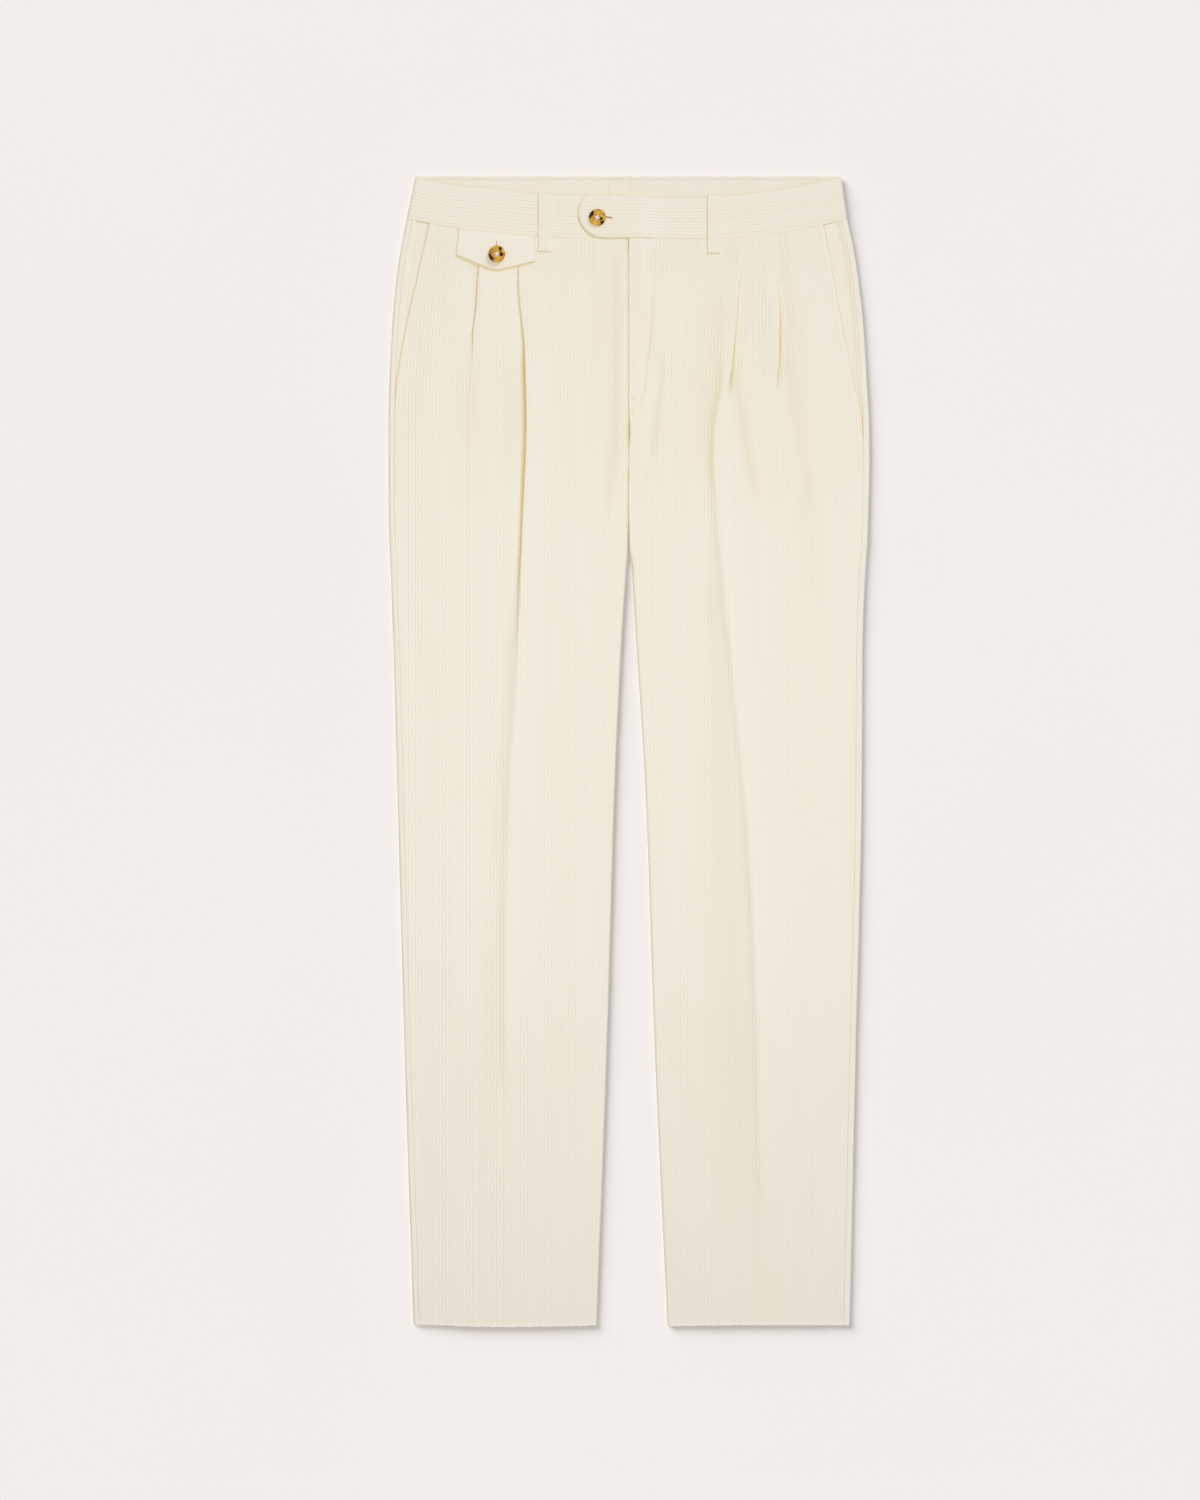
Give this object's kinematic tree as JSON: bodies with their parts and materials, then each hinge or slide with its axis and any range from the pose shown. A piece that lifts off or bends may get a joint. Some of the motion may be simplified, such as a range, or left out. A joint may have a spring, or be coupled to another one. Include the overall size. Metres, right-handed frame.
{
  "type": "corduroy trousers",
  "caption": "Pleated corduroy trousers laid flat, with a tab waistband, belt loops, slant pockets and a buttoned watch pocket flap.",
  "frame": {"origin": "centre of the garment's outline, on the surface that it lies on", "axes": "+X to the wearer's left, +Y up the legs to the waist, +Z away from the surface"},
  "size_m": [0.4562, 1.091, 0.0147],
  "materials": {
    "corduroy": "cream cotton corduroy, wide wale, soft nap",
    "twill": "cream cotton twill, smooth",
    "horn": "brown mottled horn look, polished"
  },
  "bodies": {
    "root": {"front_right": "corduroy", "front_left": "corduroy", "back_right": "corduroy", "back_left": "corduroy", "waistband_front_right": "corduroy", "waistband_front_left": "corduroy", "waistband_back": "corduroy", "waistband_facing": "twill", "pocket_facing_right": "corduroy", "pocket_facing_left": "corduroy", "watch_pocket_flap": "corduroy", "belt_loop_front_right": "corduroy", "belt_loop_front_left": "corduroy", "belt_loop_back_right": "corduroy", "belt_loop_back_centre": "corduroy", "belt_loop_back_left": "corduroy", "button_waist": "horn", "button_watch_pocket": "horn"}
  },
  "joints": []
}
